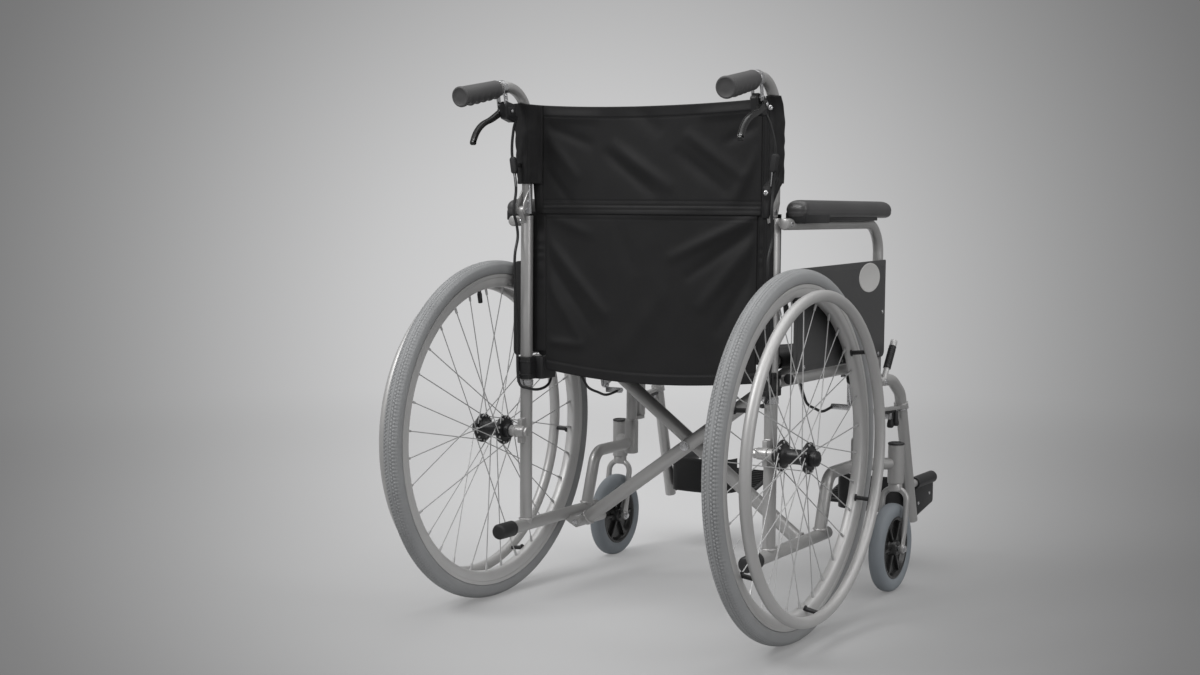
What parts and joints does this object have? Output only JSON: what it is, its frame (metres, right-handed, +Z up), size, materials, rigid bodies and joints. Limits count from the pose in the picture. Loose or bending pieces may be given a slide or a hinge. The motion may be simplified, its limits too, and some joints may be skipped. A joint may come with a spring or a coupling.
{
  "type": "folding wheelchair",
  "caption": "Folding wheelchair with large rear wheels and push rings, small swivelling casters, fold-down back, flip-up armrests, swing-away footrests and hand brakes.",
  "frame": {"origin": "on the floor, under the middle of the chair's box", "axes": "+Z up, the sitter looks along -Y, +X to the sitter's left"},
  "size_m": [0.6962, 1.0322, 0.9266],
  "materials": {
    "silver_paint": "satin silver-grey powder coat on steel tube",
    "bright_steel": "zinc-plated steel",
    "alloy": "satin anodised alloy",
    "grey_tyre": "matt grey solid rubber",
    "black_hub": "black hub, bright spokes",
    "black_plastic": "moulded black plastic",
    "black_gloss_plastic": "glossy black",
    "grip_rubber": "dark grey moulded grip",
    "pad_vinyl": "soft black skin",
    "guard_panel": "dark grey panel",
    "black_cloth": "woven black nylon"
  },
  "bodies": {
    "left_side": {"left_side_frame": "silver_paint", "left_rail_tip": "black_plastic", "left_seat_saddle": "black_plastic", "left_wheel_axle": "bright_steel", "left_housing_cap": "black_plastic", "left_brake_bracket": "bright_steel"},
    "left_back": {"left_back_cane": "silver_paint", "left_handle_grip": "grip_rubber", "left_lever_bracket": "black_plastic", "left_brake_cable": "black_plastic"},
    "left_hand_brake": {"left_attendant_lever": "black_gloss_plastic"},
    "left_wheel": {"left_tyre": "grey_tyre", "left_rim": "alloy", "left_hub_with_spokes": "black_hub", "left_hand_rim": "alloy"},
    "left_fork": {"left_caster_fork": "silver_paint"},
    "left_caster": {"left_caster_tyre": "grey_tyre", "left_caster_hub": "black_gloss_plastic"},
    "left_armrest": {"left_armrest_frame": "silver_paint", "left_armrest_pad": "pad_vinyl", "left_skirt_guard": "guard_panel"},
    "left_lock_lever": {"left_parking_lever": "black_plastic"},
    "left_lock_shoe": {"left_brake_shoe": "bright_steel"},
    "left_footrest": {"left_hanger": "silver_paint"},
    "left_latch": {"left_hanger_latch": "black_plastic"},
    "left_foot": {"left_footplate": "black_plastic", "left_heel_strap": "black_cloth"},
    "right_side": {"right_side_frame": "silver_paint", "right_rail_tip": "black_plastic", "right_seat_saddle": "black_plastic", "right_wheel_axle": "bright_steel", "right_housing_cap": "black_plastic", "right_brake_bracket": "bright_steel", "back_cloth_lower": "black_cloth"},
    "right_back": {"right_back_cane": "silver_paint", "right_handle_grip": "grip_rubber", "right_lever_bracket": "black_plastic", "right_brake_cable": "black_plastic", "back_cloth_upper": "black_cloth"},
    "right_hand_brake": {"right_attendant_lever": "black_gloss_plastic"},
    "right_wheel": {"right_tyre": "grey_tyre", "right_rim": "alloy", "right_hub_with_spokes": "black_hub", "right_hand_rim": "alloy"},
    "right_fork": {"right_caster_fork": "silver_paint"},
    "right_caster": {"right_caster_tyre": "grey_tyre", "right_caster_hub": "black_gloss_plastic"},
    "right_armrest": {"right_armrest_frame": "silver_paint", "right_armrest_pad": "pad_vinyl", "right_skirt_guard": "guard_panel"},
    "right_lock_lever": {"right_parking_lever": "black_plastic"},
    "right_lock_shoe": {"right_brake_shoe": "bright_steel"},
    "right_footrest": {"right_hanger": "silver_paint"},
    "right_latch": {"right_hanger_latch": "black_plastic"},
    "right_foot": {"right_footplate": "black_plastic", "right_heel_strap": "black_cloth"},
    "brace_front": {"brace_from_right": "silver_paint", "brace_bolt": "bright_steel", "seat_cloth": "black_cloth"},
    "brace_rear": {"brace_from_left": "silver_paint"}
  },
  "joints": [
    {"name": "fold", "type": "hinge", "parent": "right_side", "child": "brace_front", "pos_m": [-0.2175, 0.0135, 0.1185], "axis": [0, -1, 0], "range_deg": [0, 42.5], "deforming": ["seat_cloth", "back_cloth_lower", "back_cloth_upper"]},
    {"name": "fold_cross", "type": "hinge", "parent": "brace_front", "child": "brace_rear", "pos_m": [0, 0.0135, 0.277], "axis": [0, -1, 0], "range_deg": [-85, 0]},
    {"name": "fold_left", "type": "hinge", "parent": "brace_rear", "child": "left_side", "pos_m": [0.2175, 0.0135, 0.1185], "axis": [0, -1, 0], "range_deg": [0, 42.5]},
    {"name": "left_wheel_spin", "type": "hinge", "parent": "left_side", "child": "left_wheel", "pos_m": [0.2986, 0.2115, 0.305], "axis": [1, 0, 0], "continuous": true},
    {"name": "left_caster_swivel", "type": "hinge", "parent": "left_side", "child": "left_fork", "pos_m": [0.298, -0.2355, 0.236], "axis": [0, 0, 1], "continuous": true},
    {"name": "left_caster_spin", "type": "hinge", "parent": "left_fork", "child": "left_caster", "pos_m": [0.298, -0.2165, 0.082], "axis": [1, 0, 0], "continuous": true},
    {"name": "left_back_fold", "type": "hinge", "parent": "left_side", "child": "left_back", "pos_m": [0.243, 0.2035, 0.7], "axis": [-1, 0, 0], "range_deg": [0, 90], "deforming": ["left_brake_cable"]},
    {"name": "left_hand_brake_pull", "type": "hinge", "parent": "left_back", "child": "left_hand_brake", "pos_m": [0.2545, 0.2555, 0.871], "axis": [1, 0, 0], "range_deg": [0, 20], "stiffness_Nm_per_rad": 0.4, "springref_deg": -6.88},
    {"name": "left_armrest_flip", "type": "hinge", "parent": "left_side", "child": "left_armrest", "pos_m": [0.2665, 0.1895, 0.681], "axis": [-1, 0, 0], "range_deg": [0, 88]},
    {"name": "left_lock_pull", "type": "hinge", "parent": "left_side", "child": "left_lock_lever", "pos_m": [0.2875, -0.1765, 0.394], "axis": [1, 0, 0], "range_deg": [0, 30]},
    {"name": "left_shoe_press", "type": "hinge", "parent": "left_side", "child": "left_lock_shoe", "pos_m": [0.2588, -0.10966, 0.36169], "axis": [-1, 0, 0], "range_deg": [0, 10]},
    {"name": "left_footrest_swing", "type": "hinge", "parent": "left_side", "child": "left_footrest", "pos_m": [0.243, -0.2185, 0.2905], "axis": [0, 0, 1], "range_deg": [0, 90]},
    {"name": "left_latch_release", "type": "hinge", "parent": "left_footrest", "child": "left_latch", "pos_m": [0.2514, -0.2545, 0.33], "axis": [0, 0, -1], "range_deg": [0, 15], "stiffness_Nm_per_rad": 0.2, "springref_deg": -6.88},
    {"name": "left_footplate_flip", "type": "hinge", "parent": "left_footrest", "child": "left_foot", "pos_m": [0.268, -0.4005, 0.172], "axis": [0, 1, 0], "range_deg": [0, 85], "deforming": ["left_heel_strap"]},
    {"name": "right_wheel_spin", "type": "hinge", "parent": "right_side", "child": "right_wheel", "pos_m": [-0.2986, 0.2115, 0.305], "axis": [1, 0, 0], "continuous": true},
    {"name": "right_caster_swivel", "type": "hinge", "parent": "right_side", "child": "right_fork", "pos_m": [-0.298, -0.2355, 0.236], "axis": [0, 0, 1], "continuous": true},
    {"name": "right_caster_spin", "type": "hinge", "parent": "right_fork", "child": "right_caster", "pos_m": [-0.298, -0.2165, 0.082], "axis": [1, 0, 0], "continuous": true},
    {"name": "right_back_fold", "type": "hinge", "parent": "right_side", "child": "right_back", "pos_m": [-0.243, 0.2035, 0.7], "axis": [-1, 0, 0], "range_deg": [0, 90], "deforming": ["right_brake_cable", "back_cloth_upper"]},
    {"name": "right_hand_brake_pull", "type": "hinge", "parent": "right_back", "child": "right_hand_brake", "pos_m": [-0.2545, 0.2555, 0.871], "axis": [1, 0, 0], "range_deg": [0, 20], "stiffness_Nm_per_rad": 0.4, "springref_deg": -6.88},
    {"name": "right_armrest_flip", "type": "hinge", "parent": "right_side", "child": "right_armrest", "pos_m": [-0.2665, 0.1895, 0.681], "axis": [-1, 0, 0], "range_deg": [0, 88]},
    {"name": "right_lock_pull", "type": "hinge", "parent": "right_side", "child": "right_lock_lever", "pos_m": [-0.2875, -0.1765, 0.394], "axis": [1, 0, 0], "range_deg": [0, 30]},
    {"name": "right_shoe_press", "type": "hinge", "parent": "right_side", "child": "right_lock_shoe", "pos_m": [-0.2588, -0.10966, 0.36169], "axis": [-1, 0, 0], "range_deg": [0, 10]},
    {"name": "right_footrest_swing", "type": "hinge", "parent": "right_side", "child": "right_footrest", "pos_m": [-0.243, -0.2185, 0.2905], "axis": [0, 0, -1], "range_deg": [0, 90]},
    {"name": "right_latch_release", "type": "hinge", "parent": "right_footrest", "child": "right_latch", "pos_m": [-0.2514, -0.2545, 0.33], "axis": [0, 0, 1], "range_deg": [0, 15], "stiffness_Nm_per_rad": 0.2, "springref_deg": -6.88},
    {"name": "right_footplate_flip", "type": "hinge", "parent": "right_footrest", "child": "right_foot", "pos_m": [-0.268, -0.4005, 0.172], "axis": [0, -1, 0], "range_deg": [0, 85], "deforming": ["right_heel_strap"]}
  ],
  "couplings": [
    {"joint": "fold_cross", "follows": "fold", "ratio": -2},
    {"joint": "fold_left", "follows": "fold", "ratio": 1},
    {"joint": "left_shoe_press", "follows": "left_lock_pull", "ratio": 0.32},
    {"joint": "left_footplate_flip", "follows": "fold", "ratio": 2},
    {"joint": "right_shoe_press", "follows": "right_lock_pull", "ratio": 0.32},
    {"joint": "right_footplate_flip", "follows": "fold", "ratio": 2},
    {"joint": "left_back_fold", "follows": "right_back_fold", "ratio": 1}
  ]
}
